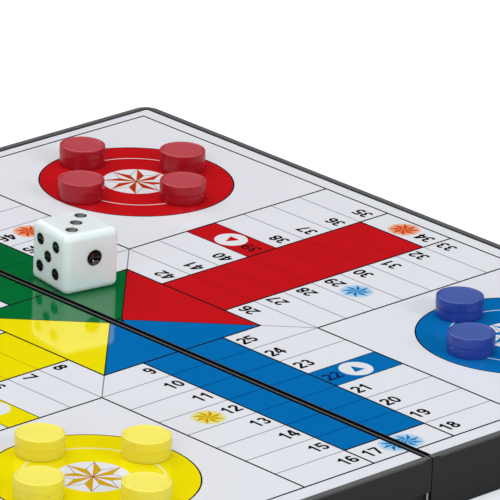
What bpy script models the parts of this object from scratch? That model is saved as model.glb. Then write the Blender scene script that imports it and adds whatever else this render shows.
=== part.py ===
"""Folding magnetic parcheesi board, lying open and flat with its pieces on it.

Two moulded tray halves meet at a seam along X and fold on two pinned hinges, so that the printed
faces end up outside and the two hollows make one storage box.  The far half lies at +Y and stays
still, the near half lies at -Y and swings down and under it.  The origin is the middle of the seam,
on the table.  Everything is in metres, with +Z up.
"""

import math

import bmesh
import bpy
from mathutils import Matrix, Vector

# Case halves
CASE_LENGTH = 0.2272
HALF_DEPTH = 0.1165
HALF_HEIGHT = 0.0150
WALL = 0.0024
SEAM_WALL = 0.0010
RIM_WIDTH = 0.0018
RIM_STAND = 0.0004
CORNER_RADIUS = 0.0040
SHEET_CORNER_SHARE = 0.2
EDGE_ROUND = 0.0003
DECK_THICKNESS = 0.0016
FIT_GAP = 0.0003
SEAM_GAP = 0.0003
OVERRUN = 0.0020

# Stiffening ribs under each deck
LONG_RIB_HEIGHT = 0.0014
CROSS_RIB_HEIGHT = 0.0011
RIB_THICKNESS = 0.0010
LONG_RIB_SHARES = (0.25, 0.5, 0.75)
CROSS_RIB_SHARES = (-0.75, -0.45, -0.15, 0.15, 0.45, 0.75)

# Hinges
BARREL_RADIUS = 0.0025
PIN_RADIUS = 0.0010
HINGE_INSET = 0.0386
OUTER_KNUCKLE = 0.0080
MIDDLE_KNUCKLE = 0.0120
PIN_INSET = 0.0006
GUSSET_HEIGHT = 0.0052
GUSSET_TOP = 0.0006

# Snap beads, their grooves and the finger notch in the long walls
SNAP_INSET = 0.0686
SNAP_LENGTH = 0.0140
SNAP_RADIUS = 0.0006
SNAP_STAND = 0.0002
SNAP_LAP_SHARE = 0.3
FINGER_WIDTH = 0.0190
FINGER_DEPTH = 0.0030

# Sheets that lie on the decks
STEEL_THICKNESS = 0.0005
PRINT_THICKNESS = 0.0003

# Tokens
TOKEN_RADIUS = 0.0062
TOKEN_HEIGHT = 0.0055
TOKEN_DRAFT = 0.0002
TOKEN_EDGE = 0.0003
TOKEN_LIP = 0.0007
TOKEN_DISH = 0.0003
MAGNET_RADIUS = 0.0040
MAGNET_THICKNESS = 0.0015
MAGNET_INSET = 0.0001

# Where the tokens stand, as shares of half the case's length and of a half's depth
RED_PLACE_SHARES = ((-0.805, 0.616), (-0.637, 0.463), (-0.632, 0.776), (-0.482, 0.640))
BLUE_PLACE_SHARES = ((0.445, 0.627), (0.616, 0.493), (0.781, 0.634), (0.622, 0.784))
YELLOW_PLACE_SHARES = ((0.446, -0.618), (0.597, -0.452), (0.785, -0.622), (0.618, -0.773))
GREEN_PLACE_SHARES = ((-0.795, -0.623), (-0.638, -0.465), (-0.633, -0.779), (-0.479, -0.627))

# Die
DIE_EDGE = 0.0160
DIE_ROUND = 0.0018
DIE_PITCH = 0.0036
PIP_RADIUS = 0.00162
PIP_DEPTH = 0.0007
ACE_RADIUS = 0.00215
ACE_DEPTH = 0.0011
DIE_PLACE_SHARES = (-0.2526, 0.1001)
DIE_TURN = math.radians(-9.4)

# How finely curves are divided
CORNER_STEPS = 5
BARREL_SEGMENTS = 24
PIN_SEGMENTS = 20
FINGER_SEGMENTS = 64
TOKEN_SEGMENTS = 24
DIE_EDGE_SEGMENTS = 3
PIP_SEGMENTS = 12
PIP_RINGS = 8
WELD = 0.00001
FLAT_ANGLE = math.radians(0.5)

# Sizes that follow from the driving ones
HALF_LENGTH = CASE_LENGTH / 2
LIP = (WALL - FIT_GAP) / 2
HINGE_Z = BARREL_RADIUS + FIT_GAP
LAP_HEIGHT = 2 * HINGE_Z
SHOULDER_Z = LAP_HEIGHT + FIT_GAP
PRINT_TOP = HALF_HEIGHT - RIM_STAND
PRINT_BASE = PRINT_TOP - PRINT_THICKNESS
STEEL_TOP = PRINT_BASE - FIT_GAP
STEEL_BASE = STEEL_TOP - STEEL_THICKNESS
DECK_TOP = STEEL_BASE - FIT_GAP
DECK_BASE = DECK_TOP - DECK_THICKNESS
SEAM_FACE = SEAM_GAP / 2
SEAM_INNER = SEAM_FACE + SEAM_WALL
MATING_Z = HINGE_Z + SEAM_FACE
INNER_LENGTH = HALF_LENGTH - WALL
INNER_DEPTH = HALF_DEPTH - WALL
HINGE_X = HALF_LENGTH - HINGE_INSET
SNAP_X = HALF_LENGTH - SNAP_INSET
STANDING_Z = PRINT_TOP + FIT_GAP
SECTION_TO_YZ = Matrix(((0, 0, 1, 0), (1, 0, 0, 0), (0, 1, 0, 0), (0, 0, 0, 1)))

BLACK_ABS = ((0.020, 0.020, 0.022, 1.0), 0.42, 0.0)
SHEET_STEEL = ((0.55, 0.56, 0.58, 1.0), 0.35, 1.0)
PIN_STEEL = ((0.62, 0.62, 0.63, 1.0), 0.25, 1.0)
PRINTED_CARD = ((0.76, 0.77, 0.80, 1.0), 0.28, 0.0)
FERRITE = ((0.050, 0.048, 0.047, 1.0), 0.60, 0.3)
DIE_WHITE = ((0.86, 0.86, 0.84, 1.0), 0.15, 0.0)
TOKEN_COLOURS = {
    "red": (0.42, 0.022, 0.040, 1.0),
    "blue": (0.040, 0.050, 0.34, 1.0),
    "yellow": (0.90, 0.80, 0.10, 1.0),
    "green": (0.020, 0.25, 0.070, 1.0),
}
TOKEN_ROUGHNESS = 0.35


def empty_scene():
    """Remove whatever the file opened with."""
    for obj in list(bpy.data.objects):
        bpy.data.objects.remove(obj, do_unlink=True)


def new_collection(name):
    collection = bpy.data.collections.new(name)
    bpy.context.scene.collection.children.link(collection)
    return collection


def paint(obj, colour, roughness, metallic):
    """Give an object a Principled material of its own."""
    material = bpy.data.materials.new(obj.name)
    material.use_nodes = True
    shader = material.node_tree.nodes["Principled BSDF"]
    shader.inputs["Base Color"].default_value = colour
    shader.inputs["Roughness"].default_value = roughness
    shader.inputs["Metallic"].default_value = metallic
    obj.data.materials.append(material)


def mesh_object(name, bm, collection):
    """Turn a bmesh into an object, with its faces turned out."""
    bmesh.ops.recalc_face_normals(bm, faces=bm.faces)
    mesh = bpy.data.meshes.new(name)
    bm.to_mesh(mesh)
    bm.free()
    obj = bpy.data.objects.new(name, mesh)
    collection.objects.link(obj)
    return obj


def as_guide(obj):
    """Mark an object as a cutter or a shape that a Boolean joins."""
    obj.hide_render = True
    obj.display_type = "WIRE"
    return obj


def combine(obj, other, operation):
    modifier = obj.modifiers.new(other.name, "BOOLEAN")
    modifier.operation = operation
    modifier.solver = "EXACT"
    modifier.object = other


def box_between(bm, low, high):
    """Add a box between two corners."""
    low = Vector(low)
    high = Vector(high)
    place = Matrix.Translation((low + high) / 2) @ Matrix.Diagonal((*(high - low), 1))
    bmesh.ops.create_cube(bm, size=1, matrix=place)


def rod_along_x(bm, radius, start, end, y, z, segments):
    """Add a cylinder that lies along X."""
    place = Matrix.Translation(((start + end) / 2, y, z)) @ Matrix.Rotation(math.pi / 2, 4, "Y")
    bmesh.ops.create_cone(bm, cap_ends=True, segments=segments, radius1=radius, radius2=radius,
                          depth=abs(end - start), matrix=place)


def slab(name, points, low, high, collection, rounding=0.0):
    """Extrude a flat outline between two heights, with its edges rounded if asked."""
    curve = bpy.data.curves.new(name, "CURVE")
    curve.dimensions = "2D"
    curve.fill_mode = "BOTH"
    curve.extrude = (high - low) / 2 - rounding
    curve.bevel_depth = rounding
    curve.bevel_resolution = 1
    curve.offset = -rounding
    spline = curve.splines.new("POLY")
    spline.points.add(len(points) - 1)
    for point, (x, y) in zip(spline.points, points):
        point.co = (x, y, 0, 1)
    spline.use_cyclic_u = True
    drawn = bpy.data.objects.new(name, curve)
    collection.objects.link(drawn)
    solid = bpy.data.meshes.new_from_object(drawn.evaluated_get(bpy.context.evaluated_depsgraph_get()))
    bpy.data.objects.remove(drawn, do_unlink=True)
    bm = bmesh.new()
    bm.from_mesh(solid)
    bpy.data.meshes.remove(solid)
    bmesh.ops.remove_doubles(bm, verts=bm.verts, dist=WELD)
    bmesh.ops.dissolve_limit(bm, angle_limit=FLAT_ANGLE, verts=bm.verts, edges=bm.edges)
    bmesh.ops.translate(bm, verts=bm.verts, vec=(0, 0, (low + high) / 2))
    return mesh_object(name, bm, collection)


def half_outline(side, inset, seam, radius):
    """Outline of a half: square where it meets the seam, rounded at its two outer corners."""
    x = HALF_LENGTH - inset
    y = HALF_DEPTH - inset
    points = [(-x, seam), (x, seam)]
    for turn, centre_x in ((0, x - radius), (1, radius - x)):
        for step in range(CORNER_STEPS + 1):
            angle = math.pi / 2 * (turn + step / CORNER_STEPS)
            points.append((centre_x + radius * math.cos(angle), y - radius + radius * math.sin(angle)))
    return [(px, side * py) for px, py in points]


def knuckle_outline(side):
    """Section of a knuckle in Y and Z: a barrel with a gusset up the inside of the seam wall."""
    join = SEAM_FACE + SEAM_WALL / 2
    start = math.acos(join / BARREL_RADIUS)
    points = []
    for step in range(BARREL_SEGMENTS + 1):
        angle = start + (2 * math.pi - start) * step / BARREL_SEGMENTS
        points.append((BARREL_RADIUS * math.cos(angle), BARREL_RADIUS * math.sin(angle)))
    points.append((SEAM_INNER + GUSSET_TOP, GUSSET_HEIGHT))
    points.append((join, GUSSET_HEIGHT))
    return [(side * y, z) for y, z in points]


def knuckle_spans(part):
    """Where the knuckles of one kind start and end along X, as pairs."""
    middle = MIDDLE_KNUCKLE / 2
    inner = middle + FIT_GAP
    outer = inner + OUTER_KNUCKLE
    spans = []
    for hinge in (-HINGE_X, HINGE_X):
        if part == "middle":
            spans.append((hinge - middle, hinge + middle))
        else:
            spans.append((hinge - outer, hinge - inner))
            spans.append((hinge + inner, hinge + outer))
    return spans


def add_knuckles(half, side, part, guides):
    """Join a half's own knuckles to its seam wall."""
    for number, (start, end) in enumerate(knuckle_spans(part), 1):
        knuckle = slab(f"{half.name}_knuckle_{number}", knuckle_outline(side), start, end, guides)
        knuckle.data.transform(Matrix.Translation((0, 0, HINGE_Z)) @ SECTION_TO_YZ)
        combine(half, as_guide(knuckle), "UNION")


def cut_for_knuckles(half, part, guides):
    """Cut the seam wall back round the other half's knuckles, a little past the faces of its own."""
    bm = bmesh.new()
    room = 2 * FIT_GAP
    for start, end in knuckle_spans(part):
        rod_along_x(bm, BARREL_RADIUS + FIT_GAP, start - room, end + room, 0, HINGE_Z, BARREL_SEGMENTS)
    combine(half, as_guide(mesh_object(f"{half.name}_knuckle_room", bm, guides)), "DIFFERENCE")


def cut_pin_bores(half, guides):
    bm = bmesh.new()
    reach = MIDDLE_KNUCKLE / 2 + FIT_GAP + OUTER_KNUCKLE + OVERRUN
    for hinge in (-HINGE_X, HINGE_X):
        rod_along_x(bm, PIN_RADIUS + FIT_GAP, hinge - reach, hinge + reach, 0, HINGE_Z, PIN_SEGMENTS)
    combine(half, as_guide(mesh_object(f"{half.name}_pin_bores", bm, guides)), "DIFFERENCE")


def add_ribs(half, side, guides):
    """Join the stiffening ribs to the underside of the deck, long ones first."""
    reach = RIB_THICKNESS / 2
    long_end = INNER_LENGTH + WALL / 2
    long_ribs = bmesh.new()
    for share in LONG_RIB_SHARES:
        y = side * (SEAM_INNER + share * (INNER_DEPTH - SEAM_INNER))
        box_between(long_ribs, (-long_end, y - reach, DECK_BASE - LONG_RIB_HEIGHT),
                    (long_end, y + reach, DECK_BASE + DECK_THICKNESS / 2))
    combine(half, as_guide(mesh_object(f"{half.name}_long_ribs", long_ribs, guides)), "UNION")
    cross_ribs = bmesh.new()
    ends = sorted((side * (SEAM_FACE + SEAM_WALL / 2), side * (INNER_DEPTH + WALL / 2)))
    for share in CROSS_RIB_SHARES:
        x = share * INNER_LENGTH
        box_between(cross_ribs, (x - reach, ends[0], DECK_BASE - CROSS_RIB_HEIGHT),
                    (x + reach, ends[1], DECK_BASE + DECK_THICKNESS / 3))
    combine(half, as_guide(mesh_object(f"{half.name}_cross_ribs", cross_ribs, guides)), "UNION")


def cut_hollow(half, side, guides):
    """Cut the storage hollow up to the deck, and the shallow recess for the sheets above it.

    The hollow's section in Y and Z runs out under the seam wall, whose foot ends at the mating plane.
    """
    section = ((-OVERRUN, -OVERRUN), (-OVERRUN, MATING_Z), (SEAM_INNER, MATING_Z), (SEAM_INNER, DECK_BASE),
               (INNER_DEPTH, DECK_BASE), (INNER_DEPTH, -OVERRUN))
    hollow = slab(f"{half.name}_hollow", [(side * y, z) for y, z in section], -INNER_LENGTH, INNER_LENGTH,
                  guides)
    hollow.data.transform(SECTION_TO_YZ)
    round_upright_edges(hollow, INNER_DEPTH, CORNER_RADIUS - WALL)
    combine(half, as_guide(hollow), "DIFFERENCE")
    recess = slab(f"{half.name}_recess",
                  half_outline(side, RIM_WIDTH, SEAM_INNER, CORNER_RADIUS * SHEET_CORNER_SHARE),
                  DECK_TOP, HALF_HEIGHT + OVERRUN, guides)
    combine(half, as_guide(recess), "DIFFERENCE")


def round_upright_edges(obj, depth, radius):
    """Round the two upright edges that stand at a distance from the seam."""
    weights = obj.data.attributes.new("bevel_weight_edge", "FLOAT", "EDGE")
    for edge, weight in zip(obj.data.edges, weights.data):
        low, high = (obj.data.vertices[index].co for index in edge.vertices)
        upright = abs(high.z - low.z) > abs(high.y - low.y) + abs(high.x - low.x)
        weight.value = float(upright and abs(abs(low.y) - depth) < WELD)
    rounding = obj.modifiers.new("rounding", "BEVEL")
    rounding.limit_method = "WEIGHT"
    rounding.width = radius
    rounding.segments = CORNER_STEPS


def snap_rods(name, x_radius, y, z, length, guides):
    """Two short rods along X, for the snap beads or for the grooves that take them."""
    bm = bmesh.new()
    for centre in (-SNAP_X, SNAP_X):
        rod_along_x(bm, x_radius, centre - length / 2, centre + length / 2, y, z, PIN_SEGMENTS)
    return as_guide(mesh_object(name, bm, guides))


def far_half(parts, guides):
    """The half that stays still: its outer walls end in an outer lip, and it has four knuckles."""
    half = slab("far_case_half", half_outline(1, 0, SEAM_FACE, CORNER_RADIUS), 0, HALF_HEIGHT, parts,
                EDGE_ROUND)
    cut_hollow(half, 1, guides)

    lap = slab("far_lap", half_outline(1, LIP, -OVERRUN, CORNER_RADIUS - LIP), -OVERRUN, SHOULDER_Z,
               guides)
    bm = bmesh.new()
    skirt_end = INNER_LENGTH - FIT_GAP
    box_between(bm, (-skirt_end, -2 * OVERRUN, -2 * OVERRUN),
                (skirt_end, SEAM_INNER + OVERRUN, SHOULDER_Z + OVERRUN))
    combine(lap, as_guide(mesh_object("far_lap_skirt_room", bm, guides)), "DIFFERENCE")
    combine(half, as_guide(lap), "DIFFERENCE")

    add_ribs(half, 1, guides)
    cut_for_knuckles(half, "middle", guides)
    add_knuckles(half, 1, "outer", guides)
    cut_pin_bores(half, guides)

    lip_inner = HALF_DEPTH - LIP
    bead_centre = lip_inner - FIT_GAP + SNAP_STAND - SNAP_RADIUS
    combine(half, snap_rods("far_snap_grooves", SNAP_RADIUS + FIT_GAP, bead_centre,
                            LAP_HEIGHT * (1 - SNAP_LAP_SHARE), SNAP_LENGTH + 2 * FIT_GAP, guides),
            "DIFFERENCE")

    finger_radius = (FINGER_WIDTH ** 2 / 4 + FINGER_DEPTH ** 2) / (2 * FINGER_DEPTH)
    bm = bmesh.new()
    place = (Matrix.Translation((0, HALF_DEPTH, FINGER_DEPTH - finger_radius))
             @ Matrix.Rotation(math.pi / 2, 4, "X"))
    bmesh.ops.create_cone(bm, cap_ends=True, segments=FINGER_SEGMENTS, radius1=finger_radius,
                          radius2=finger_radius, depth=2 * (LIP + FIT_GAP / 2), matrix=place)
    combine(half, as_guide(mesh_object("far_finger_notch", bm, guides)), "DIFFERENCE")
    paint(half, *BLACK_ABS)
    return half


def near_half(parts, guides):
    """The half that folds under: its outer walls end in an inner lip, and it has two knuckles."""
    half = slab("near_case_half", half_outline(-1, 0, SEAM_FACE, CORNER_RADIUS), 0, HALF_HEIGHT, parts,
                EDGE_ROUND)
    cut_hollow(half, -1, guides)

    lap = slab("near_lap", half_outline(-1, -OVERRUN, -OVERRUN, CORNER_RADIUS + OVERRUN), -OVERRUN,
               SHOULDER_Z, guides)
    inset = LIP + FIT_GAP
    lip = slab("near_lip", half_outline(-1, inset, -2 * OVERRUN, CORNER_RADIUS - inset), -2 * OVERRUN,
               SHOULDER_Z + OVERRUN, guides)
    combine(lap, as_guide(lip), "DIFFERENCE")
    combine(half, as_guide(lap), "DIFFERENCE")

    add_ribs(half, -1, guides)
    cut_for_knuckles(half, "outer", guides)
    add_knuckles(half, -1, "middle", guides)
    cut_pin_bores(half, guides)

    bead_centre = HALF_DEPTH - LIP - FIT_GAP + SNAP_STAND - SNAP_RADIUS
    combine(half, snap_rods("near_snap_beads", SNAP_RADIUS, -bead_centre, LAP_HEIGHT * SNAP_LAP_SHARE,
                            SNAP_LENGTH, guides), "UNION")
    paint(half, *BLACK_ABS)
    return half


def hinge_pin(name, hinge, parts):
    reach = MIDDLE_KNUCKLE / 2 + FIT_GAP + OUTER_KNUCKLE - PIN_INSET
    bm = bmesh.new()
    rod_along_x(bm, PIN_RADIUS, -reach, reach, 0, 0, PIN_SEGMENTS)
    pin = mesh_object(name, bm, parts)
    pin.location = (hinge, 0, HINGE_Z)
    paint(pin, *PIN_STEEL)
    return pin


def sheet(name, side, low, high, look, parts):
    """A flat sheet that lies in the recess of one half, clear of its rim."""
    points = half_outline(side, RIM_WIDTH + FIT_GAP, SEAM_INNER + FIT_GAP, CORNER_RADIUS * SHEET_CORNER_SHARE)
    flat = slab(name, points, low, high, parts)
    paint(flat, *look)
    return flat


def turned(name, profile, parts):
    """Turn a profile, given as radius and height from the top centre down, round Z."""
    mesh = bpy.data.meshes.new(name)
    edges = [(index, index + 1) for index in range(len(profile) - 1)]
    mesh.from_pydata([(radius, 0, height) for radius, height in profile], edges, [])
    obj = bpy.data.objects.new(name, mesh)
    parts.objects.link(obj)
    screw = obj.modifiers.new("turn", "SCREW")
    screw.axis = "Z"
    screw.steps = TOKEN_SEGMENTS
    screw.render_steps = TOKEN_SEGMENTS
    screw.use_merge_vertices = True
    screw.merge_threshold = WELD
    screw.use_smooth_shade = True
    return obj


def token(name, colour, parts):
    """A dished plastic cap with a disc magnet let into its underside."""
    top_radius = TOKEN_RADIUS - TOKEN_DRAFT
    pocket_radius = MAGNET_RADIUS + FIT_GAP
    pocket_top = MAGNET_INSET + MAGNET_THICKNESS + FIT_GAP
    dish_top = top_radius - TOKEN_EDGE - TOKEN_LIP
    cap = turned(f"{name}_cap", (
        (0, TOKEN_HEIGHT - TOKEN_DISH),
        (dish_top - TOKEN_DISH, TOKEN_HEIGHT - TOKEN_DISH),
        (dish_top, TOKEN_HEIGHT),
        (top_radius - TOKEN_EDGE, TOKEN_HEIGHT),
        (top_radius, TOKEN_HEIGHT - TOKEN_EDGE),
        (TOKEN_RADIUS, TOKEN_EDGE),
        (TOKEN_RADIUS - TOKEN_EDGE, 0),
        (pocket_radius, 0),
        (pocket_radius, pocket_top),
        (0, pocket_top),
    ), parts)
    paint(cap, colour, TOKEN_ROUGHNESS, 0.0)
    magnet = turned(f"{name}_magnet", (
        (0, MAGNET_INSET + MAGNET_THICKNESS),
        (MAGNET_RADIUS, MAGNET_INSET + MAGNET_THICKNESS),
        (MAGNET_RADIUS, MAGNET_INSET),
        (0, MAGNET_INSET),
    ), parts)
    magnet.parent = cap
    paint(magnet, *FERRITE)
    return cap


def pip_places():
    """Every pip of the die, as its face's turn, its place on that face and whether it is the ace."""
    ends = ((-1, -1), (1, 1))
    spots = {
        1: ((0, 0),),
        2: ends,
        3: ((-1, 1), (0, 0), (1, -1)),
        4: ((-1, -1), (-1, 1), (1, -1), (1, 1)),
        5: ((-1, -1), (-1, 1), (1, -1), (1, 1), (0, 0)),
        6: ((-1, -1), (0, -1), (1, -1), (-1, 1), (0, 1), (1, 1)),
    }
    quarter = math.pi / 2
    turns = {
        1: Matrix.Rotation(quarter, 4, "Y"),
        2: Matrix.Rotation(-quarter, 4, "X"),
        3: Matrix.Identity(4),
        4: Matrix.Rotation(math.pi, 4, "X"),
        5: Matrix.Rotation(quarter, 4, "X"),
        6: Matrix.Rotation(-quarter, 4, "Y"),
    }
    return [(turns[face], spot, face == 1) for face in spots for spot in spots[face]]


def die(parts, guides):
    """A rounded die with bowl-shaped pips, three on top, five to the front and one to the right."""
    bm = bmesh.new()
    box_between(bm, (-DIE_EDGE / 2, -DIE_EDGE / 2, 0), (DIE_EDGE / 2, DIE_EDGE / 2, DIE_EDGE))
    cube = mesh_object("die", bm, parts)
    rounding = cube.modifiers.new("rounding", "BEVEL")
    rounding.width = DIE_ROUND
    rounding.segments = DIE_EDGE_SEGMENTS
    rounding.limit_method = "NONE"

    bm = bmesh.new()
    for turn, (across, along), is_ace in pip_places():
        radius, depth = (ACE_RADIUS, ACE_DEPTH) if is_ace else (PIP_RADIUS, PIP_DEPTH)
        ball = (radius ** 2 + depth ** 2) / (2 * depth)
        spot = Matrix.Translation((across * DIE_PITCH, along * DIE_PITCH, DIE_EDGE / 2 - depth + ball))
        place = Matrix.Translation((0, 0, DIE_EDGE / 2)) @ turn @ spot
        bmesh.ops.create_uvsphere(bm, u_segments=PIP_SEGMENTS, v_segments=PIP_RINGS, radius=ball, matrix=place)
    pips = as_guide(mesh_object("die_pips", bm, guides))
    combine(cube, pips, "DIFFERENCE")
    pips.parent = cube
    cube.location = (DIE_PLACE_SHARES[0] * HALF_LENGTH, DIE_PLACE_SHARES[1] * HALF_DEPTH, STANDING_Z)
    cube.rotation_euler = (0, 0, DIE_TURN)
    paint(cube, *DIE_WHITE)
    return cube


def hang_on(axis, obj):
    """Parent an object to an empty and keep its place."""
    obj.parent = axis
    obj.location = Vector(obj.location) - axis.location


def main():
    empty_scene()
    parts = new_collection("magnetic_parcheesi_board")
    guides = new_collection("cutters")

    fold_axis = bpy.data.objects.new("fold_axis", None)
    fold_axis.location = (0, 0, HINGE_Z)
    parts.objects.link(fold_axis)

    far_half(parts, guides)
    near = near_half(parts, guides)
    hang_on(fold_axis, near)
    for name, hinge in (("left_hinge_pin", -HINGE_X), ("right_hinge_pin", HINGE_X)):
        hinge_pin(name, hinge, parts)

    sheet("far_steel_sheet", 1, STEEL_BASE, STEEL_TOP, SHEET_STEEL, parts)
    sheet("far_printed_sheet", 1, PRINT_BASE, PRINT_TOP, PRINTED_CARD, parts)
    hang_on(fold_axis, sheet("near_steel_sheet", -1, STEEL_BASE, STEEL_TOP, SHEET_STEEL, parts))
    hang_on(fold_axis, sheet("near_printed_sheet", -1, PRINT_BASE, PRINT_TOP, PRINTED_CARD, parts))

    place_shares = {
        "red": RED_PLACE_SHARES,
        "blue": BLUE_PLACE_SHARES,
        "yellow": YELLOW_PLACE_SHARES,
        "green": GREEN_PLACE_SHARES,
    }
    for colour, places in place_shares.items():
        for number, (across, along) in enumerate(places, 1):
            cap = token(f"{colour}_token_{number}", TOKEN_COLOURS[colour], parts)
            cap.location = (across * HALF_LENGTH, along * HALF_DEPTH, STANDING_Z)
            if along < 0:
                hang_on(fold_axis, cap)
    die(parts, guides)


main()
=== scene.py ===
import math

import bmesh
import bpy
import numpy as np
from mathutils import Matrix, Vector


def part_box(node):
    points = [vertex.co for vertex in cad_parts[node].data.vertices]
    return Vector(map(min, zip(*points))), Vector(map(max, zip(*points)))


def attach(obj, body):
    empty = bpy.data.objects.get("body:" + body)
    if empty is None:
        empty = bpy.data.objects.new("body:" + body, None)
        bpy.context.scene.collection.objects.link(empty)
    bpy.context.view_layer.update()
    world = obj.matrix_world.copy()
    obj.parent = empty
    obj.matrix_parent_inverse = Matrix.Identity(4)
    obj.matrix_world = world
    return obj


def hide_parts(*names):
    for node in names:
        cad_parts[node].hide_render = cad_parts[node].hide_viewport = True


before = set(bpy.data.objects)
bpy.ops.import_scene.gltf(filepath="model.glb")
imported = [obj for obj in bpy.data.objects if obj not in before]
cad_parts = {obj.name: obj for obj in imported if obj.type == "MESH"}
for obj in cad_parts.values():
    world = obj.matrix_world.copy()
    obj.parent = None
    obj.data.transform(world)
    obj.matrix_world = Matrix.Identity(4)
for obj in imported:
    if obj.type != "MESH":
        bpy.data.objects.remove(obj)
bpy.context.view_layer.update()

MM = 0.001
CELL = 10.3 * MM

# The printed field, in cells from the middle of the board: half the coloured path, the outer side
# of the columns beside it, the tips of the middle square, the end of the path, the frame round all,
# and the widths of a line and of a hairline
PATH_HALF = 1.145
COLUMN = 3.43
RING = 2.43
PATH_END = 9.43
FRAME_LINE = 10.43
LINE = 0.055
HAIR = 0.030

# Each half's print is glued down a little off, in metres, and its numbers sit a little off in it,
# in cells
HALF_ORIGIN = {"far": (-0.9 * MM, 2.70 * MM), "near": (-1.0 * MM, -1.16 * MM)}
NUMBER_SHIFT = {"far": (-0.017, -0.019), "near": (-0.017, 0.018)}

# The top of the print, and where the far sheet ends at the seam. Inks start in the sheet and end a
# hair above it, each later one a little higher, and the loose pieces stand on them.
PRINT_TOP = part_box("far_printed_sheet")[1][2]
SEAM_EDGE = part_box("far_printed_sheet")[0][1]
INK_FOOT = PRINT_TOP - 0.02 * MM
INK_STEP = 0.006 * MM
STAND = PRINT_TOP + 0.045 * MM


def linear(code):
    """An sRGB hex colour as linear light, with alpha 1."""
    parts = [int(code[i:i + 2], 16) / 255 for i in (0, 2, 4)]
    light = [c / 12.92 if c <= 0.04045 else ((c + 0.055) / 1.055) ** 2.4 for c in parts]
    return (*light, 1.0)


def add_node(tree, kind, inputs=(), **settings):
    """Adds one node, with its settings and what goes into its sockets, a value or an output."""
    node = tree.nodes.new(kind)
    for name, value in settings.items():
        setattr(node, name, value)
    for name, value in dict(inputs).items():
        if isinstance(value, bpy.types.NodeSocket):
            tree.links.new(value, node.inputs[name])
        else:
            node.inputs[name].default_value = value
    return node


def new_material(name):
    """An empty material, with its tree and its shader."""
    material = bpy.data.materials.new(name)
    material.use_nodes = True
    return material, material.node_tree, material.node_tree.nodes["Principled BSDF"]


def build_mesh(name, points, faces):
    """A mesh from points and from faces that name them by number."""
    mesh = bpy.data.meshes.new(name)
    mesh.from_pydata(np.asarray(points).tolist(), [], faces)
    mesh.update()
    return mesh


def add_piece(name, mesh, material, body):
    """Links a finished mesh as a piece that rides on a body."""
    piece = bpy.data.objects.new(name, mesh)
    bpy.context.scene.collection.objects.link(piece)
    mesh.materials.clear()
    mesh.materials.append(material)
    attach(piece, body)
    return piece


# Finishes

INK_MOTTLE = 0.03


def gloss_ink(name, code):
    """Offset ink under a clear laminating film: full colour, sharp gloss, a faint orange peel."""
    material, tree, shader = new_material(name)
    shader.inputs["Roughness"].default_value = 0.07
    shader.inputs["IOR"].default_value = 1.49
    place = add_node(tree, "ShaderNodeTexCoord").outputs["Object"]
    cloud = add_node(
        tree, "ShaderNodeTexNoise",
        {"Vector": place, "Scale": 1 / (14 * MM), "Detail": 3.0},
    )
    colour = linear(code)
    dark = tuple(c * (1 - INK_MOTTLE) for c in colour[:3]) + (1.0,)
    pale = tuple(min(1.0, c * (1 + INK_MOTTLE) + 0.001) for c in colour[:3]) + (1.0,)
    tint = add_node(
        tree, "ShaderNodeMix",
        {"Factor": cloud.outputs["Fac"], 6: dark, 7: pale}, data_type="RGBA",
    )
    tree.links.new(tint.outputs[2], shader.inputs["Base Color"])
    peel = add_node(
        tree, "ShaderNodeTexNoise",
        {"Vector": place, "Scale": 1 / (1.6 * MM), "Detail": 2.0},
    )
    bump = add_node(
        tree, "ShaderNodeBump",
        {"Height": peel.outputs["Fac"], "Strength": 0.25, "Distance": 0.004 * MM},
    )
    tree.links.new(bump.outputs["Normal"], shader.inputs["Normal"])
    return material


def printed_sheet(name, code, edge_code):
    """The laminated sheet: film over white board on its face, and dark grey on its cut edges and
    its underside."""
    material = gloss_ink(name, code)
    tree = material.node_tree
    colour = tree.nodes["Principled BSDF"].inputs["Base Color"]
    face = colour.links[0].from_socket
    coordinates = add_node(tree, "ShaderNodeTexCoord")
    normal = coordinates.outputs["Normal"]
    up = add_node(tree, "ShaderNodeSeparateXYZ", {"Vector": normal}).outputs["Z"]
    tint = add_node(
        tree, "ShaderNodeMix",
        {"Factor": up, 6: linear(edge_code), 7: face}, data_type="RGBA",
    )
    tree.links.new(tint.outputs[2], colour)
    return material


# Where a painted sheen pales the walls of the case: just below the rim, and not beside the seam
WALL_SHEEN_HEIGHT = (14.3 * MM, 14.8 * MM)
WALL_SHEEN_FROM_SEAM = (2 * MM, 3 * MM)
WALL_SHEEN_SHARE = 0.78


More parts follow.
